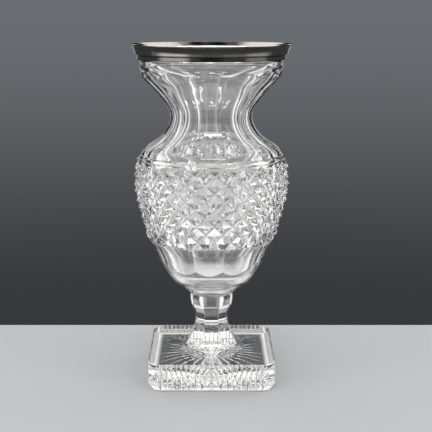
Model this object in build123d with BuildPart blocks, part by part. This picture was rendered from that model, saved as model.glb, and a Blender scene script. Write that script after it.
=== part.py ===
"""Cut crystal urn vase with a silver collar, built as its separate pieces.

Millimetres, +Z up. The origin is the centre of the foot's underside, and the front is -Y.
The bowl is blown and cut on its outside, a wafer of glass joins it to the stem, and the
silver collar is bedded on the rim in plaster.
"""

import os
from math import cos, pi, radians, sin, sqrt, tan

from build123d import *

os.makedirs("parts", exist_ok=True)

# Square foot: cut corners, ribbed sides, a star cut in the underside
foot_width = 105.0
foot_height = 23.0
corner_cut = 8.5
rib_count = 23  # ribs on each side
rib_depth = 0.8
rest_border = 4.7  # flat border outside the star, which the vase rests on
star_rays = 32
star_eye = 3.0  # flat left at the centre of the star
star_broad = 27.0  # where the rays are broadest and deepest
star_land = 0.5  # flat left between two rays where they are broadest
star_depth = 2.4
star_reach = 55.0  # longest ray, towards a corner

# Stem: eight flat panels that end under the wafer. Half widths are across flats
stem_panels = 8
stem_height = 40.0
stem_base = 27.5
stem_ankle = 14.5
stem_ankle_height = 17.0  # above the foot
stem_waist = 13.4
stem_waist_height = 27.0
stem_shoulder = 14.5
stem_shoulder_height = 35.3

# Joining wafer
wafer_height = 7.0
wafer_radius = 17.8
wafer_bulge = 0.5

# Cup of the bowl, under the diamonds: 12 short flutes
flute_count = 12
cup_height = 47.5
cup_root_radius = 22.8  # just above the wafer
cup_root_height = 5.0
cup_low_radius = 31.0
cup_low_height = 10.7
cup_run_out_radius = 40.4  # where a flute ends at its foot
cup_run_out_height = 24.0
flute_radius = 42.5  # a third of the way up a flute
flute_height = 29.0
flute_top_radius = 49.4  # under the arched top
flute_top_height = 46.0
flute_arch_height = 5.5  # how far the arch climbs into the diamonds

# Band of diamonds round the belly
diamond_count = 24
diamond_rows = 10  # half diamonds from the band's bottom edge to its top edge
diamond_depth = 4.4
diamond_end_depth = 1.6  # grooves run out at both edges of the band
diamond_turn = 2.5  # degrees from the front to a crossing in the odd rows
band_height = 68.5
belly_radius = 65.2
belly_height = 50.5  # widest level, above the band's bottom edge
belly_arc = 67.0
belly_taper = 14.6  # degrees, of the straight lower part

# Neck: 12 flat panels with arched tops. Radii are across flats
neck_panels = 12
shoulder_drop = 4.2  # from the edge of the shoulder down to the band
shoulder_radius = 57.7
hip_radius = 45.4
hip_height = 11.0  # above the edge of the shoulder
throat_radius = 33.6
throat_height = 31.5
flare_radius = 45.7
flare_height = 52.3
arch_foot_radius = 56.3  # where the ridges between the panels end, under the round rim
arch_foot_height = 64.6
arch_height = 69.5
shoulder_slope = (-0.3, 1)  # direction of the panels at the edge of the shoulder
arch_slope = (0.5, 1)  # direction of the panels at their arched tops
ridge_margin = 0.2  # round glass left outside the corners before the panels are cut

# Rim and wall of the bowl
rim_radius = 59.0
rim_start_height = 74.0  # where the plain round rim starts, above the shoulder
rim_height = 11.0
rim_wall = 6.0
wall = 6.0  # least glass under the cuts
base_thickness = 11.0
bowl_turn = -2.6  # degrees, how far the flutes and panels are turned against the foot

# Silver collar, rim wire, inner sleeve and the plaster that holds them
silver_sheet = 0.9
plaster_gap = 1.2  # plaster between the glass rim and the skirt of the collar
plaster_setback = 0.6  # from the lower edge of the collar
skirt_height = 8.7  # how far the collar hangs below the glass rim
edge_height = 0.9  # plain fillet at the collar's lower edge
edge_step = 0.5
step_height = 5.2  # where the collar steps out, above its lower edge
step_out = 1.5
lip_overhang = 5.0  # of the sheet's edge beyond the skirt
lip_height = 11.9  # underside of the lip above the lower edge
lip_hollow = 0.5  # how deep the moulding under the lip is hollowed
lip_edge = 1.6  # height of the lip's edge, which the wire covers
lip_fall = 3.1  # how far the lip slopes down towards the mouth
wire_depth = 0.8
sleeve_clearance = 0.3
sleeve_depth = 10.0  # below the glass rim

# Levels
foot_top = foot_height
stem_top = foot_top + stem_height
bowl_bottom = stem_top + wafer_height
band_bottom = bowl_bottom + cup_height
band_top = band_bottom + band_height
shoulder_level = band_top + shoulder_drop
rim_start = shoulder_level + rim_start_height
rim_top = rim_start + rim_height
collar_bottom = rim_top - skirt_height
lip_bottom = collar_bottom + lip_height
vase_top = lip_bottom + lip_edge

# Reach of the cutting shapes beyond the glass that they cut
beyond = 12.0
cutter_reach = max(belly_radius, rim_radius, shoulder_radius) + beyond


def inset(points, depth):
    """Points of a rising line, moved square to it towards the axis."""
    moved = []
    for i, (r, z) in enumerate(points):
        r0, z0 = points[max(i - 1, 0)]
        r1, z1 = points[min(i + 1, len(points) - 1)]
        length = sqrt((r1 - r0) ** 2 + (z1 - z0) ** 2)
        moved.append((r - depth * (z1 - z0) / length, z + depth * (r1 - r0) / length))
    return moved


def around_corners(points, panels):
    """Round glass that still holds the corners of a body with flat panels."""
    return [(r / cos(pi / panels) + ridge_margin, z) for r, z in points]


def band_radius(z):
    """Radius over the points of the diamonds: a straight taper, then an arc round the belly."""
    taper = radians(belly_taper)
    up = z - band_bottom - belly_height
    tangent = -belly_arc * sin(taper)
    if up > tangent:
        return belly_radius - belly_arc + sqrt(belly_arc**2 - up**2)
    return belly_radius - belly_arc * (1 - cos(taper)) - (tangent - up) * tan(taper)


def polar(radius, degrees, z):
    """A point by its angle from the front, towards +X."""
    return Vector(radius * sin(radians(degrees)), -radius * cos(radians(degrees)), z)


# Lines that the panels and flutes follow, as radius and height
stem_line = [
    (stem_base, foot_top),
    (stem_ankle, foot_top + stem_ankle_height),
    (stem_waist, foot_top + stem_waist_height),
    (stem_shoulder, foot_top + stem_shoulder_height),
]
flute_line = [
    (cup_run_out_radius, bowl_bottom + cup_run_out_height),
    (flute_radius, bowl_bottom + flute_height),
    (flute_top_radius, bowl_bottom + flute_top_height),
]
neck_line = [
    (shoulder_radius, shoulder_level),
    (hip_radius, shoulder_level + hip_height),
    (throat_radius, shoulder_level + throat_height),
    (flare_radius, shoulder_level + flare_height),
    (arch_foot_radius, shoulder_level + arch_foot_height),
]

# Joining wafer
with BuildPart() as joining_wafer:
    with BuildSketch(Plane.XZ):
        with BuildLine():
            Polyline((wafer_radius, bowl_bottom), (0, bowl_bottom), (0, stem_top), (wafer_radius, stem_top))
            ThreePointArc(
                (wafer_radius, stem_top),
                (wafer_radius + wafer_bulge, (stem_top + bowl_bottom) / 2),
                (wafer_radius, bowl_bottom),
            )
        make_face()
    revolve(axis=Axis.Z)

# One stem panel, cut from the round blank as deep as the stem line
with BuildPart() as stem_panel:
    with BuildSketch(Plane.XZ):
        with BuildLine():
            Spline(*stem_line, (wafer_radius + ridge_margin, stem_top))
            Polyline(
                (wafer_radius + ridge_margin, stem_top),
                (cutter_reach, stem_top),
                (cutter_reach, foot_top),
                stem_line[0],
            )
        make_face()
    extrude(amount=stem_base, both=True)

# Stem with its eight panels
with BuildPart() as stem:
    with BuildSketch(Plane.XZ):
        with BuildLine():
            Spline(*around_corners(stem_line, stem_panels), (wafer_radius, stem_top))
            Polyline(
                (wafer_radius, stem_top),
                (0, stem_top),
                (0, foot_top),
                around_corners(stem_line, stem_panels)[0],
            )
        make_face()
    revolve(axis=Axis.Z)
    with PolarLocations(0, stem_panels):
        add(stem_panel.part, mode=Mode.SUBTRACT)

# Outline of the foot: one ribbed side, turned to all four
half_width = foot_width / 2
side_start = half_width - corner_cut
rib_pitch = 2 * side_start / rib_count
side_points = [Vector(-side_start, -half_width)]
for rib in range(rib_count):
    side_points.append(Vector(-side_start + (rib + 0.5) * rib_pitch, -half_width + rib_depth))
    side_points.append(Vector(-side_start + (rib + 1) * rib_pitch, -half_width))
foot_outline = [p.rotate(Axis.Z, 90 * side) for side in range(4) for p in side_points]

# Stem and square foot, one piece of glass
with BuildPart() as stem_foot:
    with BuildSketch():
        with BuildLine():
            Polyline(*foot_outline, close=True)
        make_face()
    extrude(amount=foot_height)
    add(stem.part)
    ray_half_width = pi * star_broad / star_rays - star_land / 2
    for ray in range(star_rays):
        turn = 360 * ray / star_rays
        along = max(abs(cos(radians(turn))), abs(sin(radians(turn))))
        reach = min((half_width - rest_border) / along, star_reach)
        across = Plane(origin=polar(star_broad, turn, 0), z_dir=polar(1, turn, 0), x_dir=polar(1, turn + 90, 0))
        with BuildSketch(across) as ray_section:
            Polygon((-ray_half_width, 0), (ray_half_width, 0), (0, star_depth), align=None)
        tips = Vertex(polar(star_eye, turn, 0)), Vertex(polar(reach, turn, 0))
        loft(sections=[tips[0], ray_section.sketch.face(), tips[1]], ruled=True, mode=Mode.SUBTRACT)


def crossing(row, step):
    """Where two grooves cross. A step is half a diamond round the belly."""
    z = band_bottom + row * band_height / diamond_rows
    depth = diamond_end_depth if row in (0, diamond_rows) else diamond_depth
    return polar(band_radius(z) - depth, diamond_turn + (step - 1) * 180 / diamond_count, z)


def point(row, step):
    """The tip of a diamond, between two crossings."""
    z = band_bottom + row * band_height / diamond_rows
    return polar(band_radius(z), diamond_turn + (step - 1) * 180 / diamond_count, z)


def flat_face(*corners):
    return Face(Wire.make_polygon(corners, close=True))


# Band of diamonds: each tip falls away to the four crossings round it
band_faces = []
for row in range(diamond_rows + 1):
    edge = []
    for step in range(row % 2, 2 * diamond_count, 2):
        left, tip, right = crossing(row, step), point(row, step + 1), crossing(row, step + 2)
        edge += [left, tip]
        if row < diamond_rows:
            above = crossing(row + 1, step + 1)
            band_faces += [flat_face(tip, right, above), flat_face(tip, above, left)]
        if row > 0:
            below = crossing(row - 1, step + 1)
            band_faces += [flat_face(tip, below, right), flat_face(tip, left, below)]
    if row in (0, diamond_rows):
        band_faces.append(flat_face(*edge))
diamond_band = Solid(Shell(band_faces))

# One flute, scooped out of the cup and arched into the diamonds
flute_exit = (band_radius(band_bottom + flute_arch_height) + ridge_margin, band_bottom + flute_arch_height)
with BuildPart() as flute:
    with BuildSketch(Plane.XZ):
        with BuildLine():
            Spline(*flute_line, flute_exit)
            Polyline(
                flute_exit,
                (cutter_reach, flute_exit[1]),
                (cutter_reach, flute_line[0][1]),
                flute_line[0],
            )
        make_face()
    extrude(amount=cutter_reach * sin(pi / flute_count), both=True)

# One neck panel, from the arch under the rim to the edge of the shoulder
arch_top = (rim_radius + ridge_margin, shoulder_level + arch_height)
with BuildPart() as neck_panel:
    with BuildSketch(Plane.XZ):
        with BuildLine():
            Spline(*neck_line, arch_top, tangents=(shoulder_slope, arch_slope))
            Polyline(
                arch_top,
                (cutter_reach, arch_top[1]),
                (cutter_reach, band_top + ridge_margin),
                (shoulder_radius + shoulder_drop - ridge_margin, band_top + ridge_margin),
                neck_line[0],
            )
        make_face()
    extrude(amount=cutter_reach * sin(pi / neck_panels), both=True)

# Blank of the bowl: round glass outside, and a core inside the band of diamonds
cup_blank = [
    (wafer_radius, bowl_bottom),
    (cup_root_radius, bowl_bottom + cup_root_height),
    (cup_low_radius, bowl_bottom + cup_low_height),
    (cup_run_out_radius, bowl_bottom + cup_run_out_height),
    *around_corners(flute_line[1:], flute_count),
]
neck_blank = around_corners(neck_line, neck_panels)
core_low = band_radius(band_bottom) - diamond_depth
core_high = band_radius(band_top) - diamond_depth
belly_core = band_radius(band_bottom + belly_height) - diamond_depth - ridge_margin

# Hollow of the bowl, a wall's thickness inside the deepest cuts
hollow_guide = [
    (cup_low_radius, bowl_bottom + cup_low_height),
    *flute_line[1:],
    (belly_radius - diamond_depth, band_bottom + belly_height),
    *neck_line,
]
hollow_line = inset(hollow_guide, wall)
mouth_radius = rim_radius - rim_wall

with BuildPart() as crystal_bowl:
    with BuildSketch(Plane.XZ):
        with BuildLine():
            Spline(*cup_blank)
            Polyline(
                cup_blank[-1],
                (band_radius(band_bottom), band_bottom),
                (core_low, band_bottom + diamond_depth),
                (belly_core, band_bottom + belly_height),
                (core_high, band_top - diamond_depth),
                neck_blank[0],
            )
            Spline(*neck_blank, tangents=(shoulder_slope, arch_slope))
            Polyline(
                neck_blank[-1],
                (rim_radius, rim_start),
                (rim_radius, rim_top),
                (0, rim_top),
                (0, bowl_bottom),
                (wafer_radius, bowl_bottom),
            )
        make_face()
    revolve(axis=Axis.Z)
    add(diamond_band)
    with PolarLocations(0, flute_count, bowl_turn):
        add(flute.part, mode=Mode.SUBTRACT)
    with PolarLocations(0, neck_panels, bowl_turn):
        add(neck_panel.part, mode=Mode.SUBTRACT)
    with BuildSketch(Plane.XZ):
        with BuildLine():
            Spline((0, bowl_bottom + base_thickness), *hollow_line, (mouth_radius, rim_start))
            Polyline(
                (mouth_radius, rim_start),
                (mouth_radius, rim_top + beyond),
                (0, rim_top + beyond),
                (0, bowl_bottom + base_thickness),
            )
        make_face()
    revolve(axis=Axis.Z, mode=Mode.SUBTRACT)

# Lines of the collar's sheet, shared by the collar, the wire, the sleeve and the plaster
skirt_inner = rim_radius + plaster_gap
skirt_outer = skirt_inner + silver_sheet
lip_radius = skirt_outer + lip_overhang
sleeve_outer = mouth_radius - sleeve_clearance
mouth_edge = vase_top - lip_fall
collar_lining = [
    (skirt_inner, collar_bottom + step_height),
    (skirt_inner + step_out, collar_bottom + step_height + silver_sheet),
    (lip_radius - 2 * silver_sheet, lip_bottom + silver_sheet / 2),
    (sleeve_outer, mouth_edge - silver_sheet),
]

# Spun collar: skirt, step, hollow moulding, and a lip that slopes into the mouth
with BuildPart() as silver_collar:
    with BuildSketch(Plane.XZ):
        with BuildLine():
            Polyline(
                *collar_lining[::-1],
                (skirt_inner, collar_bottom),
                (skirt_outer + edge_step, collar_bottom),
                (skirt_outer + edge_step, collar_bottom + edge_height),
                (skirt_outer, collar_bottom + edge_height),
                (skirt_outer, collar_bottom + step_height),
                (skirt_outer + step_out, collar_bottom + step_height),
            )
            SagittaArc(
                (skirt_outer + step_out, collar_bottom + step_height),
                (lip_radius, lip_bottom),
                lip_hollow,
            )
            Polyline(
                (lip_radius, lip_bottom),
                (lip_radius, vase_top),
                (sleeve_outer, mouth_edge),
                collar_lining[-1],
            )
        make_face()
    revolve(axis=Axis.Z)

# Half-round wire on the edge of the lip
with BuildPart() as rim_wire:
    with BuildSketch(Plane.XZ):
        with BuildLine():
            Line((lip_radius, vase_top), (lip_radius, lip_bottom))
            ThreePointArc(
                (lip_radius, lip_bottom),
                (lip_radius + wire_depth, (lip_bottom + vase_top) / 2),
                (lip_radius, vase_top),
            )
        make_face()
    revolve(axis=Axis.Z)

# Sleeve that lines the mouth
with BuildPart() as inner_sleeve:
    with BuildSketch(Plane.XZ):
        with BuildLine():
            Polyline(
                (sleeve_outer - silver_sheet, rim_top - sleeve_depth),
                (sleeve_outer, rim_top - sleeve_depth),
                (sleeve_outer, mouth_edge),
                (sleeve_outer - silver_sheet, mouth_edge),
                close=True,
            )
        make_face()
    revolve(axis=Axis.Z)

# Plaster between the glass rim, the sleeve and the collar
with BuildPart() as plaster_bed:
    with BuildSketch(Plane.XZ):
        with BuildLine():
            Polyline(
                (skirt_inner, collar_bottom + plaster_setback),
                *collar_lining,
                (sleeve_outer, rim_top),
                (rim_radius, rim_top),
                (rim_radius, collar_bottom + plaster_setback),
                close=True,
            )
        make_face()
    revolve(axis=Axis.Z)

pieces = {
    "crystal_bowl": crystal_bowl,
    "joining_wafer": joining_wafer,
    "stem_foot": stem_foot,
    "silver_collar": silver_collar,
    "rim_wire": rim_wire,
    "inner_sleeve": inner_sleeve,
    "plaster_bed": plaster_bed,
}
for name, piece in pieces.items():
    piece.part.label = name
    export_step(piece.part, f"parts/{name}.step")
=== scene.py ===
"""Cut crystal urn vase with a silver collar: its looks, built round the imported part.

Shapes are drawn in millimetres, +Z up, with the front at -Y, and are brought to metres as each
piece is finished.
"""

from math import cos, pi, radians, sin, sqrt, tan

import bmesh
import bpy
import numpy as np
from mathutils import Matrix, Vector


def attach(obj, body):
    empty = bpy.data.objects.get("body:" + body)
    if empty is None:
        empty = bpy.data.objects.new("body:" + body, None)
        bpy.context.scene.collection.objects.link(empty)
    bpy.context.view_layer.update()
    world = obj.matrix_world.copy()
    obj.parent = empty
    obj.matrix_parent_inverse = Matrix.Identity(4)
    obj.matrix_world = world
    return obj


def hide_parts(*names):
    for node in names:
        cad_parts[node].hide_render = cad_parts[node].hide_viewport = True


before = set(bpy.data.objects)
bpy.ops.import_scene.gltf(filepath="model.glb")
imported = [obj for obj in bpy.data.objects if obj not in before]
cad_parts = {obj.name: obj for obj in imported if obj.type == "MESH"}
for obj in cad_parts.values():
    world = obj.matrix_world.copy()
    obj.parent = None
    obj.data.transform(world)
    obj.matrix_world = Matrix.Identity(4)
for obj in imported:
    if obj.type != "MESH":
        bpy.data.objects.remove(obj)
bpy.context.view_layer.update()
scene = bpy.context.scene
MM = 0.001
tiny = 1e-4  # lengths under this count as none

# Square foot
foot_width = 105.0
foot_height = 23.0
corner_cut = 8.5
rib_count = 23
rib_depth = 0.8
rib_steps = 12
rib_curve = 4.0  # how flat the reeds are on top
rest_border = 4.7
recess = 0.15
star_rays = 32
star_eye = 3.0
star_broad = 0.62
star_land = 0.2
star_slope = radians(30)
star_reach = 55.0
sole_skin = 0.01  # faces under this height are the ground border

# Stem and wafer
stem_root = 20.0  # the stem and its panels start inside the foot
panel_start = 21.0
stem_panels = 8
stem_top = 63.0
wafer_radius = 17.8
wafer_bulge = 0.5
bowl_bottom = 70.0

# Bowl: the flutes and the neck panels stand in line
facet_count = 12
flute_arch = 5.5
diamond_count = 24
diamond_rows = 10
diamond_depth = 4.4
diamond_end_depth = 1.6
diamond_turn = radians(2.5)
groove_width = 0.8
band_bottom = 117.5
band_height = 68.5
band_top = band_bottom + band_height
belly_radius = 65.2
belly_height = 50.5
belly_arc = 67.0
belly_taper = radians(14.6)
shoulder_cut = 61.7
rim_radius = 59.0
rim_start = 264.2
rim_top = 275.2
mouth_radius = 53.0
wall = 6.0
base_thickness = 11.0
ridge_margin = 0.2
ridge_width = 0.5
ridge_angle = radians(14)
crisp_cut = radians(9)
joint_skin = 0.001  # faces this near to a joint are the joint
beyond = 30.0  # how far a cutting tool reaches past the glass

# Silver collar, wire and sleeve
silver_sheet = 0.9
collar_bottom = 266.5
skirt_inner = 60.2
skirt_outer = skirt_inner + silver_sheet
edge_height = 0.9
edge_step = 0.5
step_level = 271.7
step_out = 1.5
lip_radius = 66.1
lip_bottom = 278.4
lip_hollow = 0.7
step_fillet = 0.9
vase_top = 280.0
wire_depth = 0.8
sleeve_outer = 52.7
sleeve_bottom = 265.2
mouth_edge = 276.9
soft_edge = 0.2
long_run = 2.0  # a flat at least this long gets rings beside its corners
corner_angle = radians(25)
crisp_silver = radians(40)
seam_angle = radians(-14.5)
seam_width = 0.7

# Lines that the cuts follow, as radius across flats and height
stem_line = [(27.5, 23), (14.6, 40), (13.5, 48.5), (14.4, 54.5), (15.7, 58.7)]
flute_line = [(40.4, 94), (42.5, 99), (49.4, 116)]
neck_line = [(57.7, 190.2), (45.4, 201.2), (33.6, 221.7), (45.7, 242.5), (56.3, 254.8)]
cup_low = [(22.8, 75), (31.0, 80.7), (40.4, 94)]
arch_top = (59.2, 259.7)
shoulder_slope = (-0.3, 1)
arch_slope = (0.5, 1)
bowl_turn = radians(-2.6)

# Steps round the axis and along smooth lines
round_steps = 192
fine, finer = 1.0, 0.7


def smooth_line(points, spacing, start=None, end=None):
    """Points along a smooth line through the given ones. The ends may be given a direction.

    It is a cubic spline: h are the lengths between the points p, and m the slopes that keep its bend even.
    """
    p = np.array(points, float)
    h = np.linalg.norm(np.diff(p, axis=0), axis=1)
    t = np.concatenate(([0.0], np.cumsum(h)))
    n = len(p)
    slope = []
    for way, part in ((start, slice(0, 4)), (end, slice(-4, None))):
        if way is not None:
            slope.append(np.array(way, float) / np.linalg.norm(way))
        else:
            fit = np.polyfit(t[part], p[part], len(t[part]) - 1)
            at = t[0] if part.start == 0 else t[-1]
            slope.append(np.array([np.polyval(np.polyder(fit[:, k]), at) for k in (0, 1)]))
    a = np.zeros((n, n))
    b = np.zeros((n, 2))
    a[0, 0] = a[-1, -1] = 1
    b[0], b[-1] = slope
    for i in range(1, n - 1):
        a[i, i - 1 : i + 2] = 1 / h[i - 1], 2 / h[i - 1] + 2 / h[i], 1 / h[i]
        b[i] = 3 * (p[i] - p[i - 1]) / h[i - 1] ** 2 + 3 * (p[i + 1] - p[i]) / h[i] ** 2
    m = np.linalg.solve(a, b)
    line = []
    for i in range(n - 1):
        for u in np.linspace(0, 1, max(2, round(h[i] / spacing)), endpoint=False):
            v = 1 - u
            line.append(
                v * v * (1 + 2 * u) * p[i]
                + u * v * v * h[i] * m[i]
                + u * u * (1 + 2 * v) * p[i + 1]
                - u * u * v * h[i] * m[i + 1]
            )
    return [tuple(q) for q in line] + [tuple(p[-1])]


def shares(steps):
    """Even shares from 0 to 1."""
    return [k / steps for k in range(steps + 1)]


def inset(points, depth):
    """Points of a rising line, moved square to it towards the axis."""
    moved = []
    for i, (r, z) in enumerate(points):
        r0, z0 = points[max(i - 1, 0)]
        r1, z1 = points[min(i + 1, len(points) - 1)]
        length = sqrt((r1 - r0) ** 2 + (z1 - z0) ** 2)
        moved.append((r - depth * (z1 - z0) / length, z + depth * (r1 - r0) / length))
    return moved


def around_corners(points, panels):
    """Round glass that still holds the corners of a body with flat panels."""
    return [(r / cos(pi / panels) + ridge_margin, z) for r, z in points]


def band_radius(z):
    """Radius over the points of the diamonds: a straight taper, then an arc round the belly."""
    up = z - band_bottom - belly_height
    tangent = -belly_arc * sin(belly_taper)
    if up > tangent:
        return belly_radius - belly_arc + sqrt(belly_arc**2 - up**2)
    return belly_radius - belly_arc * (1 - cos(belly_taper)) - (tangent - up) * tan(belly_taper)


def lathe(outline, steps=round_steps, turn=0.0):
    """Spins an outline of radius and height into a closed solid. With few steps it has flat panels."""
    bm = bmesh.new()
    ring = [bm.verts.new((r, 0, z)) for r, z in outline]
    edges = [bm.edges.new(pair) for pair in zip(ring, ring[1:])]
    if outline[0][0] > 0:
        edges.append(bm.edges.new((ring[-1], ring[0])))
    bmesh.ops.spin(
        bm,
        geom=ring + edges,
        cent=(0, 0, 0),
        axis=(0, 0, 1),
        dvec=(0, 0, 0),
        angle=2 * pi,
        steps=steps,
        use_merge=True,
    )
    bmesh.ops.remove_doubles(bm, verts=bm.verts, dist=tiny)
    bmesh.ops.recalc_face_normals(bm, faces=bm.faces)
    bmesh.ops.rotate(bm, verts=bm.verts, cent=(0, 0, 0), matrix=Matrix.Rotation(turn, 3, "Z"))
    return bm


def soften_ridges(bm):
    """Takes the sharpness off the ridges between flat panels."""
    slanted = [e for e in bm.edges if e.verts[0].co.z != e.verts[1].co.z]
    bmesh.ops.bevel(
        bm,
        geom=[e for e in slanted if e.calc_face_angle() > ridge_angle],
        offset=ridge_width / 2,
        segments=2,
        profile=0.5,
        affect="EDGES",
        material=-1,
    )


def block(bm, name, material):
    """A block to carve, or a tool to carve with. Its faces carry the material of its surface."""
    bmesh.ops.recalc_face_normals(bm, faces=bm.faces)
    if bm.calc_volume(signed=True) < 0:
        bmesh.ops.reverse_faces(bm, faces=bm.faces)
    mesh = bpy.data.meshes.new(name)
    bm.to_mesh(mesh)
    bm.free()
    mesh.materials.append(material)
    obj = bpy.data.objects.new(name, mesh)
    scene.collection.objects.link(obj)
    return obj


def carve(body, *steps):
    """Joins, cuts or keeps the shared part of solids, one step after the other."""
    for operation, tool in steps:
        cut = body.modifiers.new(operation, "BOOLEAN")
        cut.operation = operation
        cut.solver = "MANIFOLD"
        cut.material_mode = "TRANSFER"
        cut.object = tool
    carved = bpy.data.meshes.new_from_object(body.evaluated_get(bpy.context.evaluated_depsgraph_get()))
    for operation, tool in steps:
        bpy.data.objects.remove(tool)
    body.modifiers.clear()
    body.data = carved
    return body


def finish_piece(obj, name, node, crisp=crisp_cut):
    """Smooth surfaces with crisp edges, in metres, riding on the vase in place of the CAD node."""
    bm = bmesh.new()
    bm.from_mesh(obj.data)
    for face in bm.faces:
        face.smooth = True
    for edge in bm.edges:
        if len(edge.link_faces) == 2:
            one, other = edge.link_faces
            edge.smooth = one.material_index == other.material_index and edge.calc_face_angle() < crisp
    bmesh.ops.scale(bm, verts=bm.verts, vec=(MM, MM, MM))
    bm.to_mesh(obj.data)
    bm.free()
    obj.name = obj.data.name = name
    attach(obj, "root")
    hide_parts(node)
    return obj


def srgb(code):
    """Linear colour of an sRGB hex value."""
    parts = [int(code[i : i + 2], 16) / 255 for i in (1, 3, 5)]
    return (*[c / 12.92 if c <= 0.04045 else ((c + 0.055) / 1.055) ** 2.4 for c in parts], 1.0)


def add(tree, kind, settings=None, **inputs):
    """Adds a node with its settings. An input is linked to a node or a socket, or set to a value."""
    node = tree.nodes.new("ShaderNode" + kind)
    for name, value in (settings or {}).items():
        if name == "stops":
            elements = node.color_ramp.elements
            elements[0].color, elements[1].color = value[0][1], value[-1][1]
            for at, colour in value[1:-1]:
                elements.new(at).color = colour
        else:
            setattr(node, name, value)
    for name, value in inputs.items():
        key = int(name[1:]) if name[0] == "i" and name[1:].isdigit() else name.replace("_", " ")
        if isinstance(value, bpy.types.Node):
            value = value.outputs[0]
        if isinstance(value, bpy.types.NodeSocket):
            tree.links.new(value, node.inputs[key])
        else:
            node.inputs[key].default_value = value
    return node


def new_material(name):
    """An empty material and its node tree."""
    material = bpy.data.materials.new(name)
    material.use_nodes = True
    material.node_tree.nodes.clear()
    return material, material.node_tree


glass = {"Base_Color": srgb("#fbfbfb"), "IOR": 1.545}
clarity = 0.985  # the share of light that polished glass lets through


def clear_crystal(name, wave_length, wave_depth, swirl, smear_size, dullest):
    """Clear, bright glass with a slow wave in its skin and faint smears. Sizes are in millimetres."""
    material, t = new_material(name)
    place = add(t, "TexCoord").outputs["Object"]
    wave = add(t, "TexNoise", Vector=place, Scale=1 / (wave_length * MM), Detail=1.0, Distortion=swirl)
    skin = add(t, "Bump", Height=wave, Distance=wave_depth * MM, Strength=1.0)
    smear = add(t, "TexNoise", Vector=place, Scale=1 / (smear_size * MM), Detail=3.0)
    gloss = add(t, "MapRange", Value=smear, From_Min=0.4, From_Max=0.7, To_Min=0.0, To_Max=dullest)
    shader = add(t, "BsdfPrincipled", **glass, Transmission_Weight=clarity, Roughness=gloss, Normal=skin)
    add(t, "OutputMaterial", Surface=shader)
    return material


# Cut lead crystal, polished on a wooden wheel: clear and bright, with a faint wave that breaks up the lines
# seen through it. The real wave is about 0.01 mm deep and is drawn 0.02 mm deep to show.
cut_crystal = clear_crystal("lead crystal, cut and polished", 8, 0.02, 0.0, 18, 0.03)

# Blown lead crystal: the skin that was never cut. Its slow swirls make the streaks in the neck wander a
# little.
swirl_length, swirl_depth, swirl_twist = 16, 0.06, 0.6
blown_crystal = clear_crystal("lead crystal, blown", swirl_length, swirl_depth, swirl_twist, 25, 0.02)

# Pressed lead crystal of the foot: polished in the fire, so its skin has faint hollows from the chill of the
# mould and hardly a smear.
pressed_crystal = clear_crystal("lead crystal, pressed and fire polished", 10, 0.04, 0.0, 6, 0.012)

# Blown lead crystal inside the bowl, where standing water has left a bloom, most of it at the bottom. It
# softens what is seen through the belly, and more so through the cup.
bloomed_crystal, t = new_material("lead crystal, blown, with a bloom")
place = add(t, "TexCoord").outputs["Object"]
height = add(t, "SeparateXYZ", Vector=place).outputs["Z"]
swirl = add(t, "TexNoise", Vector=place, Scale=1 / (swirl_length * MM), Detail=1.0, Distortion=swirl_twist)
skin = add(t, "Bump", Height=swirl, Distance=swirl_depth * MM, Strength=1.0)
bloom_bottom, bloom_top = 80, 200
level = add(t, "MapRange", Value=height, From_Min=bloom_bottom * MM, From_Max=bloom_top * MM)
clear, half_dull, dull = [(share, share, share, 1) for share in (0, 0.5, 1)]
water_marks = [(0, dull), (0.2, dull), (0.32, half_dull), (0.85, half_dull), (0.92, clear), (1, clear)]
bloom = add(t, "ValToRGB", {"stops": water_marks}, Fac=level)
gloss = add(t, "MapRange", Value=bloom, To_Min=0.01, To_Max=0.17)
shader = add(t, "BsdfPrincipled", **glass, Transmission_Weight=clarity, Roughness=gloss, Normal=skin)
add(t, "OutputMaterial", Surface=shader)

# Lead crystal cut in diamonds: a hand-held wheel leaves fine lines on the small facets, so they scatter a
# little white.
diamond_crystal, t = new_material("lead crystal, cut in diamonds")
place = add(t, "TexCoord").outputs["Object"]
patch = add(t, "TexNoise", Vector=place, Scale=1 / (5 * MM), Detail=2.0)
gloss = add(t, "MapRange", Value=patch, From_Min=0.35, From_Max=0.65, To_Min=0.02, To_Max=0.07)
shader = add(t, "BsdfPrincipled", **glass, Transmission_Weight=0.93, Roughness=gloss)
add(t, "OutputMaterial", Surface=shader)

# The bottoms of the grooves between the diamonds: the polishing felt can't reach them, so they stay as fine
# white lines.
groove_crystal, t = new_material("lead crystal, left from the wheel")
place = add(t, "TexCoord").outputs["Object"]
grain = add(t, "TexNoise", Vector=place, Scale=1 / (1.5 * MM), Detail=3.0)
rough = add(t, "MapRange", Value=grain, From_Min=0.3, From_Max=0.7, To_Min=0.3, To_Max=0.5)
shader = add(t, "BsdfPrincipled", **glass, Transmission_Weight=0.6, Roughness=rough)
add(t, "OutputMaterial", Surface=shader)

# Ground lead crystal under the foot: a matt border worn flat by grit. Its 0.1 mm pits are drawn 0.5 mm wide
# to show.
ground_crystal, t = new_material("lead crystal, ground")
place = add(t, "TexCoord").outputs["Object"]
pits = add(t, "TexNoise", Vector=place, Scale=1 / (0.5 * MM), Detail=2.0)
grit = add(t, "Bump", Height=pits, Distance=0.05 * MM, Strength=0.6)
worn = add(t, "MapRange", Value=pits, To_Min=0.55, To_Max=0.8)
matt = {**glass, "Base_Color": srgb("#f3f3f2")}
shader = add(t, "BsdfPrincipled", **matt, Transmission_Weight=0.35, Roughness=worn, Normal=grit)
add(t, "OutputMaterial", Surface=shader)

# Where two pieces of glass were fused hot, the eye sees no surface.
fused_joint, t = new_material("fused joint in the glass")
add(t, "OutputMaterial", Surface=add(t, "BsdfTransparent"))

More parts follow.
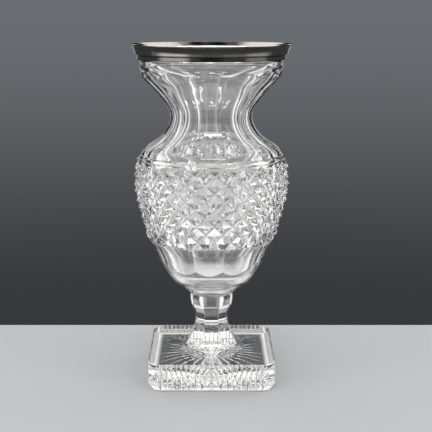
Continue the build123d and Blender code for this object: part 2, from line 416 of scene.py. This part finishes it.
# Sterling silver, spun and polished: a warm mirror with rings left by the spinning tool, wiping marks, grey
# tarnish with painted shade in the corners under the bead and the step, where polishing can't reach, and the
# seam of the strip. The 0.1 mm rings are drawn 0.8 mm apart to show.
silver, t = new_material("sterling silver, spun and polished")
place = add(t, "TexCoord").outputs["Object"]
x, y, z = add(t, "SeparateXYZ", Vector=place).outputs
across = add(t, "CombineXYZ", X=x, Y=y)
radius = add(t, "VectorMath", {"operation": "LENGTH"}, i0=across).outputs["Value"]
along = add(t, "CombineXYZ", X=radius, Z=z)
rings = add(t, "TexNoise", Vector=along, Scale=1 / (0.8 * MM), Detail=2.0)
tooled = add(t, "Bump", Height=rings, Distance=0.012 * MM, Strength=1.0)
wiped = add(t, "TexNoise", Vector=place, Scale=1 / (9 * MM), Detail=4.0)
gloss = add(t, "MapRange", Value=wiped, From_Min=0.35, From_Max=0.7, To_Min=0.04, To_Max=0.13)
level = add(t, "MapRange", Value=z, From_Min=collar_bottom * MM, From_Max=vase_top * MM)
clean, grey = (0, 0, 0, 1), (1, 1, 1, 1)
bead_corner = edge_height / (vase_top - collar_bottom)
step_corner = (step_level - collar_bottom) / (vase_top - collar_bottom)
# Dark bands just under the bead and the step: grey tarnish together with painted shade in those corners.
tarnish_and_shade_marks = [
    *[(0, clean), (bead_corner, clean), (bead_corner + 0.02, grey), (bead_corner + 0.06, clean)],
    *[(step_corner - 0.1, clean), (step_corner - 0.07, grey), (step_corner - 0.02, grey)],
    *[(step_corner, clean), (1, clean)],
]
corner_tarnish_and_shade = add(t, "ValToRGB", {"stops": tarnish_and_shade_marks}, Fac=level)
frontward = add(t, "Math", {"operation": "MULTIPLY"}, i0=y, i1=-1.0)
round_angle = add(t, "Math", {"operation": "ARCTAN2"}, i0=x, i1=frontward)
half_seam = seam_width / 2 / skirt_outer
seam = add(t, "Math", {"operation": "COMPARE"}, i0=round_angle, i1=seam_angle, i2=half_seam)
missed_and_shaded = add(t, "Math", {"operation": "MULTIPLY_ADD", "use_clamp": True}, i0=seam, i1=0.35, i2=corner_tarnish_and_shade)
stain = add(t, "MapRange", Value=wiped, From_Min=0.3, From_Max=0.6, To_Min=0.55, To_Max=0.9)
tarnish_and_shade = add(t, "Math", {"operation": "MULTIPLY"}, i0=missed_and_shaded, i1=stain)
colour = add(t, "MixRGB", Fac=tarnish_and_shade, Color1=srgb("#dedbd5"), Color2=srgb("#4b4843"))
shader = add(t, "BsdfPrincipled", Base_Color=colour, Metallic=1.0, Roughness=gloss, Normal=tooled)
add(t, "OutputMaterial", Surface=shader)

# Plaster of Paris: dull, off-white and chalky, with small bubbles where it was poured.
plaster, t = new_material("plaster of Paris, set")
place = add(t, "TexCoord").outputs["Object"]
chalk = add(t, "TexNoise", Vector=place, Scale=1 / (2 * MM), Detail=4.0)
bubbles = add(t, "TexVoronoi", Vector=place, Scale=1 / (1.5 * MM))
poured = add(t, "Bump", Height=bubbles, Distance=0.1 * MM, Strength=0.4)
tone = add(t, "MixRGB", Fac=chalk, Color1=srgb("#cfcabf"), Color2=srgb("#e2ded5"))
dusty = add(t, "MapRange", Value=chalk, To_Min=0.8, To_Max=0.98)
shader = add(t, "BsdfPrincipled", Base_Color=tone, Roughness=dusty, Normal=poured)
add(t, "OutputMaterial", Surface=shader)

# Bowl: round blank, band of diamonds, flutes and panels, hollow
flute_blank = around_corners(flute_line[1:], facet_count)
cup_line = smooth_line([(wafer_radius, bowl_bottom), *cup_low, *flute_blank], fine)
neck_blank = smooth_line(around_corners(neck_line, facet_count), fine, shoulder_slope, arch_slope)
core_low = band_radius(band_bottom) - diamond_depth
core_belly = belly_radius - diamond_depth - ridge_margin
core_top = band_radius(band_top) - diamond_depth
blank = block(
    lathe(
        [
            (0, bowl_bottom),
            *cup_line,
            (band_radius(band_bottom), band_bottom),
            (core_low, band_bottom + diamond_depth),
            (core_belly, band_bottom + belly_height),
            (core_top, band_top - diamond_depth),
            *neck_blank,
            (rim_radius, rim_start),
            (rim_radius, rim_top),
            (0, rim_top),
        ]
    ),
    "blank",
    blown_crystal,
)


def raise_tips(tips):
    """Moves the tips of diamonds out to the full radius of the band."""
    for tip in tips:
        out = band_radius(tip.co.z) / tip.co.xy.length
        tip.co.x *= out
        tip.co.y *= out


# Diamonds: rings of crossings, each ring turned half a diamond, with a point raised in every diamond
bm = bmesh.new()
row_height = band_height / diamond_rows
half_step = pi / diamond_count
radius = band_radius(band_bottom) - diamond_end_depth
bmesh.ops.create_circle(bm, segments=diamond_count, radius=radius)
front = diamond_turn - half_step - pi / 2
bmesh.ops.rotate(bm, verts=bm.verts, cent=(0, 0, 0), matrix=Matrix.Rotation(front - pi / 2, 3, "Z"))
bmesh.ops.translate(bm, verts=bm.verts, vec=(0, 0, band_bottom))
ring = list(bm.edges)
inner_rings = []
for row in range(1, diamond_rows + 1):
    made = bmesh.ops.extrude_edge_only(bm, edges=ring)["geom"]
    verts = [g for g in made if isinstance(g, bmesh.types.BMVert)]
    ring = [g for g in made if isinstance(g, bmesh.types.BMEdge) and all(v in verts for v in g.verts)]
    z = band_bottom + row * row_height
    r = band_radius(z) - (diamond_end_depth if row == diamond_rows else diamond_depth)
    turn = half_step if row % 2 else -half_step
    bmesh.ops.translate(bm, verts=verts, vec=(0, 0, row_height))
    bmesh.ops.rotate(bm, verts=verts, cent=(0, 0, 0), matrix=Matrix.Rotation(turn, 3, "Z"))
    bmesh.ops.scale(bm, verts=verts, vec=(r / radius, r / radius, 1))
    radius = r
    if row < diamond_rows:
        inner_rings += ring
bmesh.ops.triangulate(bm, faces=bm.faces, quad_method="SHORT_EDGE")
bmesh.ops.dissolve_edges(bm, edges=inner_rings, use_verts=False)
diamonds = [f for f in bm.faces if len(f.verts) == 4]
grooves = [e for e in bm.edges if not e.is_boundary]
raise_tips(bmesh.ops.poke(bm, faces=diamonds)["verts"])
edges = [e for e in bm.edges if e.is_boundary]
halves = bmesh.ops.subdivide_edges(bm, edges=edges, cuts=1)["geom_inner"]
raise_tips(g for g in halves if isinstance(g, bmesh.types.BMVert))
bmesh.ops.holes_fill(bm, edges=bm.edges, sides=0)
bmesh.ops.recalc_face_normals(bm, faces=bm.faces)
lines = bmesh.ops.bevel(
    bm,
    geom=[e for e in grooves if e.is_valid],
    offset=groove_width / 2,
    segments=3,
    profile=0.5,
    affect="EDGES",
    material=-1,
)
for face in lines["faces"]:
    face.material_index = 1
band = block(bm, "band", diamond_crystal)
band.data.materials.append(groove_crystal)

flute_top = band_bottom + flute_arch
flute = smooth_line([*flute_line, (band_radius(flute_top) + ridge_margin, flute_top)], fine)
panel = smooth_line([*neck_line, arch_top], fine, shoulder_slope, arch_slope)
outside = belly_radius + beyond
facets = [
    (0, bowl_bottom - beyond),
    (outside, bowl_bottom - beyond),
    (outside, flute[0][1]),
    *flute,
    (outside, flute_top),
    (outside, band_top + ridge_margin),
    (shoulder_cut, band_top + ridge_margin),
    *panel,
    (outside, arch_top[1]),
    (outside, rim_top + beyond),
    (0, rim_top + beyond),
]
half_facet = pi / facet_count
bm = lathe([(r / cos(half_facet), z) for r, z in facets], facet_count, half_facet + bowl_turn)
soften_ridges(bm)
cuts = block(bm, "cuts", cut_crystal)
guide = [cup_low[1], *flute_line[1:], (belly_radius - diamond_depth, band_bottom + belly_height), *neck_line]
hollow_line = smooth_line(
    [(0, bowl_bottom + base_thickness), *inset(guide, wall), (mouth_radius, rim_start)], fine, (1, 0)
)
hollow = block(
    lathe([*hollow_line, (mouth_radius, rim_top + beyond), (0, rim_top + beyond)]),
    "hollow",
    bloomed_crystal,
)
bowl = carve(blank, ("UNION", band), ("INTERSECT", cuts), ("DIFFERENCE", hollow))
bowl.data.materials.append(fused_joint)
for face in bowl.data.polygons:
    if face.center.z < bowl_bottom + joint_skin:
        face.material_index = len(bowl.data.materials) - 1
finish_piece(bowl, "cut_bowl", "crystal_bowl")

# Wafer
arc = []
for u in shares(8):
    arc.append((wafer_radius + wafer_bulge * sin(pi * u), stem_top + (bowl_bottom - stem_top) * u))
wafer = block(lathe([(0, stem_top), *arc, (0, bowl_bottom)]), "wafer", blown_crystal)
wafer.data.materials.append(fused_joint)
for face in wafer.data.polygons:
    if face.center.z < stem_top + joint_skin or face.center.z > bowl_bottom - joint_skin:
        face.material_index = 1
finish_piece(wafer, "glass_wafer", "joining_wafer")

# Stem and foot
stem_round = smooth_line([*around_corners(stem_line, stem_panels), (wafer_radius, stem_top)], finer)
stem_flat = smooth_line([*stem_line, (wafer_radius + ridge_margin, stem_top)], finer)
stem = block(
    lathe([(0, stem_root), (stem_round[0][0], stem_root), *stem_round, (0, stem_top)]),
    "stem",
    blown_crystal,
)
clear_of_stem = stem_line[0][0] + beyond
panels = [
    (0, stem_root - beyond),
    (clear_of_stem, stem_root - beyond),
    (clear_of_stem, panel_start),
    (stem_flat[0][0], panel_start),
    *stem_flat,
    (clear_of_stem, stem_top),
    (clear_of_stem, stem_top + beyond),
    (0, stem_top + beyond),
]
half_panel = pi / stem_panels
bm = lathe([(r / cos(half_panel), z) for r, z in panels], stem_panels, half_panel)
soften_ridges(bm)
stem_cuts = block(bm, "stem_cuts", cut_crystal)
carve(stem, ("INTERSECT", stem_cuts))

half = foot_width / 2
side_start = half - corner_cut
pitch = 2 * side_start / rib_count
bm = bmesh.new()
side = [Vector((-side_start, -half + rib_depth, 0))]
for rib in range(rib_count):
    for across in shares(rib_steps)[1:]:
        fall = rib_depth * abs(2 * across - 1) ** rib_curve
        side.append(Vector((-side_start + (rib + across) * pitch, -half + fall, 0)))
for quarter in range(4):
    for corner in side:
        bm.verts.new(Matrix.Rotation(quarter * pi / 2, 3, "Z") @ corner)
sole = bm.faces.new(bm.verts)
top = bmesh.ops.extrude_face_region(bm, geom=[sole])["geom"]
bmesh.ops.translate(bm, verts=[g for g in top if isinstance(g, bmesh.types.BMVert)], vec=(0, 0, foot_height))
bmesh.ops.recalc_face_normals(bm, faces=bm.faces)
foot = block(bm, "foot", pressed_crystal)

bm = bmesh.new()
bmesh.ops.create_cube(bm, size=1.0)
inner = foot_width - 2 * rest_border
bmesh.ops.scale(bm, verts=bm.verts, vec=(inner, inner, 2 * recess))
hollow_sole = block(bm, "hollow_sole", blown_crystal)
rays = []
for ray in range(star_rays):
    angle = 2 * pi * ray / star_rays
    reach = min((half - rest_border) / max(abs(cos(angle)), abs(sin(angle))), star_reach)
    broad = star_broad * reach
    side = (pi * 2 * broad / star_rays - star_land) / 2
    bm = bmesh.new()
    bmesh.ops.create_circle(bm, cap_ends=True, segments=4, radius=1)
    for corner in bm.verts:
        along, across = round(corner.co.x), round(corner.co.y)
        corner.co = ((star_eye, broad, reach)[along + 1], across * side, -recess)
    made = bmesh.ops.extrude_face_region(bm, geom=bm.faces[:])["geom"]
    roof = [g for g in made if isinstance(g, bmesh.types.BMVert)]
    bmesh.ops.translate(bm, verts=roof, vec=(0, 0, 2 * recess))
    tip = bmesh.ops.poke(bm, faces=[g for g in made if isinstance(g, bmesh.types.BMFace)])["verts"][0]
    tip.co = (broad, 0, recess + side * tan(star_slope))
    bmesh.ops.rotate(bm, verts=bm.verts, cent=(0, 0, 0), matrix=Matrix.Rotation(angle - pi / 2, 3, "Z"))
    rays.append(("DIFFERENCE", block(bm, "ray", pressed_crystal)))
carve(foot, ("UNION", stem), ("DIFFERENCE", hollow_sole), *rays)
foot.data.materials.append(ground_crystal)
foot.data.materials.append(fused_joint)
for face in foot.data.polygons:
    if face.center.z > stem_top - joint_skin:
        face.material_index = len(foot.data.materials) - 1
    if face.center.z < sole_skin:
        face.material_index = len(foot.data.materials) - 2
finish_piece(foot, "cut_stem_foot", "stem_foot")


def arc_through(start, end, bulge, steps):
    """Points of a shallow arc from start to end. A positive bulge goes to the left of the way along."""
    (r0, z0), (r1, z1) = start, end
    length = sqrt((r1 - r0) ** 2 + (z1 - z0) ** 2)
    arc = []
    for u in shares(steps):
        out = 4 * bulge * u * (1 - u) / length
        arc.append((r0 + u * (r1 - r0) - out * (z1 - z0), z0 + u * (z1 - z0) + out * (r1 - r0)))
    return arc


def spun_silver(outline, name, node):
    """A ring of silver, its corners softened by polishing. Rings beside the corners keep the flats flat."""
    closed = [*outline, outline[0]]
    rings = []
    for (r0, z0), (r1, z1) in zip(closed, closed[1:]):
        rings.append((r0, z0))
        length = sqrt((r1 - r0) ** 2 + (z1 - z0) ** 2)
        if length > long_run:
            for u in (2 * soft_edge / length, 1 - 2 * soft_edge / length):
                rings.append((r0 + u * (r1 - r0), z0 + u * (z1 - z0)))
    bm = lathe(rings)
    level = [e for e in bm.edges if abs(e.verts[0].co.z - e.verts[1].co.z) < tiny]
    bmesh.ops.bevel(
        bm,
        geom=[e for e in level if e.calc_face_angle() > corner_angle],
        offset=soft_edge,
        segments=3,
        profile=0.5,
        affect="EDGES",
        material=-1,
        clamp_overlap=True,
    )
    return finish_piece(block(bm, name, silver), name, node, crisp_silver)


# Collar: skirt with a bead at its lower edge, step, hollow moulding under the lip, lip sloping into the mouth
bead = []
for u in shares(6):
    out, up = edge_step * sin(pi * u), edge_height * (1 - cos(pi * u)) / 2
    bead.append((skirt_outer + out, collar_bottom + up))
fillet = []
for u in shares(5):
    out, up = step_fillet * (1 - cos(pi / 2 * u)), step_fillet * (1 - sin(pi / 2 * u))
    fillet.append((skirt_outer + out, step_level - up))
cove = arc_through((skirt_outer + step_out, step_level), (lip_radius, lip_bottom), lip_hollow, 10)
spun_silver(
    [
        (skirt_inner, collar_bottom),
        *bead,
        *fillet,
        *cove,
        (lip_radius, vase_top),
        (sleeve_outer, mouth_edge),
        (sleeve_outer, mouth_edge - silver_sheet),
        (lip_radius - 2 * silver_sheet, lip_bottom + silver_sheet / 2),
        (skirt_inner + step_out, step_level + silver_sheet),
        (skirt_inner, step_level),
    ],
    "spun_collar",
    "silver_collar",
)

# Half-round wire on the edge of the lip
middle = (lip_bottom + vase_top) / 2
half_round = []
for u in shares(10):
    out, down = wire_depth * sin(pi * u), (vase_top - lip_bottom) / 2 * cos(pi * u)
    half_round.append((lip_radius + out, middle - down))
spun_silver(half_round, "half_round_wire", "rim_wire")

# Sleeve in the mouth
spun_silver(
    [
        (sleeve_outer - silver_sheet, sleeve_bottom),
        (sleeve_outer, sleeve_bottom),
        (sleeve_outer, mouth_edge),
        (sleeve_outer - silver_sheet, mouth_edge),
    ],
    "mouth_sleeve",
    "inner_sleeve",
)

# The plaster bed keeps its CAD shape.
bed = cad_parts["plaster_bed"].data
bed.materials.clear()
bed.materials.append(plaster)


def flat_sheet(width, depth):
    """A flat sheet round the origin. Sizes are in metres."""
    bm = bmesh.new()
    bmesh.ops.create_grid(bm, x_segments=1, y_segments=1, size=0.5)
    bmesh.ops.scale(bm, verts=bm.verts, vec=(width, depth, 1))
    return bm


# A narrow card above the backdrop that shows only where it is mirrored, on the silver lip
card_width, card_height = 0.8, 0.1
card_place = (0, 0.5, 0.436)
bm = flat_sheet(card_width, card_height)
bmesh.ops.rotate(bm, verts=bm.verts, cent=(0, 0, 0), matrix=Matrix.Rotation(pi / 2, 3, "X"))
bmesh.ops.translate(bm, verts=bm.verts, vec=card_place)
white_card, t = new_material("white card")
add(t, "OutputMaterial", Surface=add(t, "Emission", Color=srgb("#f4f2ee")))
card = block(bm, "card", white_card)
card.visible_camera = card.visible_diffuse = card.visible_transmission = card.visible_shadow = False

# The tent round the vase, as angles from the back and levels, where 1 is white: light and dark cards stand
# side by side at the height of the vase, two plainer rows lie under them, and the top is white.
under_cards = [(0, 0.5), (30, 0.5), (38, 0.15), (70, 0.2), (80, 0.6), (180, 0.6)]
low_cards = [(0, 1.0), (14, 1.0), (20, 0.6), (28, 0.6), (36, 0.2), (70, 0.3), (80, 0.6), (180, 0.6)]
side_cards = [
    *[(0, 0.13), (6, 0.13), (8, 0.3), (11.5, 0.3), (13.5, 1.1), (18.5, 1.1), (20.5, 0.25)],
    *[(26, 0.25), (28, 0.45), (34, 0.45), (36, 0.2), (42, 0.2), (45, 1.0), (60, 1.0)],
    *[(64, 0.4), (80, 0.4), (84, 1.25), (110, 1.25), (116, 0.6), (180, 0.6)],
]
card_tint = (0.985, 0.98, 1.0)
white_top = (1.25, 1.245, 1.23, 1)
bright_top = (2.6, 2.58, 2.52, 1)

# Single cards: a direction, the angles where the card ends and where it is full, and its colour. Those of the
# tent lie above the back, behind the foot and the stem, and at both sides. The others are mirrored in the
# silver.
tent_cards = [
    ((0, 1, 0.72), 24, 14, srgb("#b9b8b7")),
    ((0, 1, -0.27), 8, 3, srgb("#333437")),
    ((-0.55, 1, -0.2), 12, 6, srgb("#333437")),
    ((0.55, 1, -0.2), 12, 6, srgb("#333437")),
    ((-1, 0, -0.1), 24, 10, srgb("#77787a")),
    ((1, 0, -0.1), 24, 10, srgb("#77787a")),
]
front_top_card = ((0, -1, 1), 45, 30, bright_top)
mirrored_cards = [
    ((-0.85, -0.5, 0), 32, 14, srgb("#b0afad")),
    ((0.95, -0.3, 0), 24, 10, srgb("#7d7c7b")),
    ((0, -1, 0), 22, 8, srgb("#1c1d1f")),
]
soft = {"interpolation_type": "SMOOTHSTEP"}


def lay_cards(tree, way, ground, cards):
    """Lays single cards with soft edges over what is seen in each direction."""
    for direction, end, full, colour in cards:
        middle = tuple(Vector(direction).normalized())
        near = add(tree, "VectorMath", {"operation": "DOT_PRODUCT"}, i0=way, i1=middle).outputs["Value"]
        first, last = cos(radians(end)), cos(radians(full))
        part = add(tree, "MapRange", soft, Value=near, From_Min=first, From_Max=last)
        ground = add(tree, "MixRGB", Fac=part, Color1=ground, Color2=colour)
    return ground


# The eye sees a plain backdrop. Light that goes through glass or falls on something dull comes from the tent.
# What is mirrored, most of all in the silver, is a room.
world = bpy.data.worlds.new("tent")
scene.world = world
world.use_nodes = True
t = world.node_tree
t.nodes.clear()
way = add(t, "TexCoord").outputs["Generated"]
x, y, z = add(t, "SeparateXYZ", Vector=way).outputs
sideways = add(t, "Math", {"operation": "ABSOLUTE"}, i0=x)
round_angle = add(t, "Math", {"operation": "ARCTAN2"}, i0=sideways, i1=y)
turn = add(t, "Math", {"operation": "DIVIDE"}, i0=round_angle, i1=pi)
rows = []
for cards in (under_cards, low_cards, side_cards):
    stops = [(angle / 180, (*[level * tint for tint in card_tint], 1)) for angle, level in cards]
    rows.append(add(t, "ValToRGB", {"stops": stops}, Fac=turn))
under, low, sides = rows

# Heights here are in degrees above the horizon.
tent = under
for colour, start, end in ((low, -36, -30), (sides, -28, -15), (white_top, 10, 28)):
    rise = add(t, "MapRange", soft, Value=z, From_Min=sin(radians(start)), From_Max=sin(radians(end)))
    tent = add(t, "MixRGB", Fac=rise, Color1=tent, Color2=colour)
tent = lay_cards(t, way, tent, tent_cards)

# The room is dark below, white above and grey overhead. At the back a dark stretch gives the lip its
# contrast, and a pale one lies low down.
room = srgb("#3a3b3d")
for colour, start, end in ((white_top, 8, 26), (srgb("#8d8e90"), 62, 90)):
    rise = add(t, "MapRange", soft, Value=z, From_Min=sin(radians(start)), From_Max=sin(radians(end)))
    room = add(t, "MixRGB", Fac=rise, Color1=room, Color2=colour)
dark_back = (srgb("#0c0d10"), 78, 58, [(37, 31), (0, 8)])
pale_back = (srgb("#a5a6a8"), 27, 10, [(5, -2)])
for colour, end, full, heights in (dark_back, pale_back):
    part = add(t, "MapRange", soft, Value=y, From_Min=cos(radians(end)), From_Max=cos(radians(full)))
    for none, whole in heights:
        share = add(t, "MapRange", soft, Value=z, From_Min=sin(radians(none)), From_Max=sin(radians(whole)))
        part = add(t, "Math", {"operation": "MULTIPLY"}, i0=part, i1=share)
    room = add(t, "MixRGB", Fac=part, Color1=room, Color2=colour)
room = lay_cards(t, way, room, [front_top_card, *mirrored_cards])

# The backdrop is darker low down.
rise = add(t, "MapRange", soft, Value=z, From_Min=sin(radians(-17)), From_Max=sin(radians(1)))
backdrop = add(t, "MixRGB", Fac=rise, Color1=srgb("#36383b"), Color2=srgb("#6a6d71"))
path = add(t, "LightPath").outputs
mirrored = {"operation": "SUBTRACT", "use_clamp": True}
mirror = add(t, "Math", mirrored, i0=path["Is Glossy Ray"], i1=path["Is Transmission Ray"])
seen = add(t, "MixRGB", Fac=mirror, Color1=tent, Color2=room)
seen = add(t, "MixRGB", Fac=path["Is Camera Ray"], Color1=seen, Color2=backdrop)
add(t, "OutputWorld", Surface=add(t, "Background", Color=seen, Strength=1.0))

# Pale matte paper: plain, with a faint mottle. In the silver it goes dark near the vase. Through the glass it
# glows instead of being lit: a painted shadow, grey, under the foot and painted light, white, round it.
floor_width, floor_depth = 1.8, 1.2
floor_back = 0.125  # where its far edge lies
floor_drop = 0.0002  # a hair under the foot
dark_reach, dark_end = 0.35, 0.62  # distances from the vase
painted_shadow_reach, painted_shadow_end = 0.043, 0.048  # distances from the middle of the foot, square
paper, t = new_material("pale matte paper")
place = add(t, "TexCoord").outputs["Object"]
mottle = add(t, "TexNoise", Vector=place, Scale=1 / (12 * MM), Detail=5.0)
pale = add(t, "MixRGB", Fac=mottle, Color1=srgb("#abacae"), Color2=srgb("#afb0b2"))
distance = add(t, "VectorMath", {"operation": "LENGTH"}, i0=place).outputs["Value"]
outward = add(t, "VectorMath", {"operation": "NORMALIZE"}, i0=place)
far = lay_cards(t, outward, srgb("#4c4d4f"), mirrored_cards)
part = add(t, "MapRange", soft, Value=distance, From_Min=dark_reach, From_Max=dark_end)
in_silver = add(t, "MixRGB", Fac=part, Color1=srgb("#0c0d10"), Color2=far)
x, y = add(t, "SeparateXYZ", Vector=place).outputs[:2]
aside, ahead = [add(t, "Math", {"operation": "ABSOLUTE"}, i0=axis) for axis in (x, y)]
square = add(t, "Math", {"operation": "MAXIMUM"}, i0=aside, i1=ahead)
# Painted shadow: seen through the glass, the floor is dark in a square under the foot.
part = add(t, "MapRange", soft, Value=square, From_Min=painted_shadow_reach, From_Max=painted_shadow_end)
painted_shadow_and_light_in_glass = add(t, "MixRGB", Fac=part, Color1=srgb("#4a4c50"), Color2=white_top)
path = add(t, "LightPath").outputs
mirror = add(t, "Math", mirrored, i0=path["Is Glossy Ray"], i1=path["Is Transmission Ray"])
shade = add(t, "MixRGB", Fac=mirror, Color1=pale, Color2=in_silver)
lit = add(t, "BsdfPrincipled", Base_Color=shade, Roughness=0.8)
# Seen through the glass the floor glows with this painted shadow and painted light, in place of being lit.
glow = add(t, "Emission", Color=painted_shadow_and_light_in_glass)
add(t, "OutputMaterial", Surface=add(t, "MixShader", Fac=path["Is Transmission Ray"], i1=lit, i2=glow))
bm = flat_sheet(floor_width, floor_depth)
bmesh.ops.translate(bm, verts=bm.verts, vec=(0, floor_back - floor_depth / 2, -floor_drop))
block(bm, "floor", paper)

# Soft lamps that look at the vase. Their level is the brightness of the face, where 1 is white.
lamp_width, lamp_height, lamp_level = 0.3, 0.2, 14
lamp_aim = Vector((0, 0, 0.15))
lamps = [
    ("front_softbox", (-0.05, -0.8, 1.6)),
    ("left_softbox", (-0.75, -0.45, 1.6)),
    ("right_softbox", (0.75, -0.45, 1.6)),
]
for name, place in lamps:
    light = bpy.data.lights.new(name, "AREA")
    light.shape = "RECTANGLE"
    light.size = lamp_width
    light.size_y = lamp_height
    light.energy = lamp_level * pi * lamp_width * lamp_height
    lamp = bpy.data.objects.new(name, light)
    scene.collection.objects.link(lamp)
    lamp.location = place
    lamp.rotation_euler = (Vector(place) - lamp_aim).to_track_quat("Z", "Y").to_euler()

# Camera, as fitted to the ellipse of the rim and the corners of the foot
camera_place = (0, -0.812, 0.3017)
camera_dip = radians(11.51)
lens_length, film_width = 81.65, 36
frame_shift = 4.5 / 432  # as a share of the picture's width
camera = bpy.data.objects.new("camera", bpy.data.cameras.new("camera"))
scene.collection.objects.link(camera)
camera.location = camera_place
camera.rotation_euler = (pi / 2 - camera_dip, 0, 0)
camera.data.sensor_width = film_width
camera.data.lens = lens_length
camera.data.shift_x = frame_shift
scene.camera = camera
scene.view_settings.view_transform = "Standard"
bounces = 32  # enough for light to pass through all the walls of the glass
scene.cycles.max_bounces = bounces
scene.cycles.transmission_bounces = bounces
scene.cycles.transparent_max_bounces = bounces
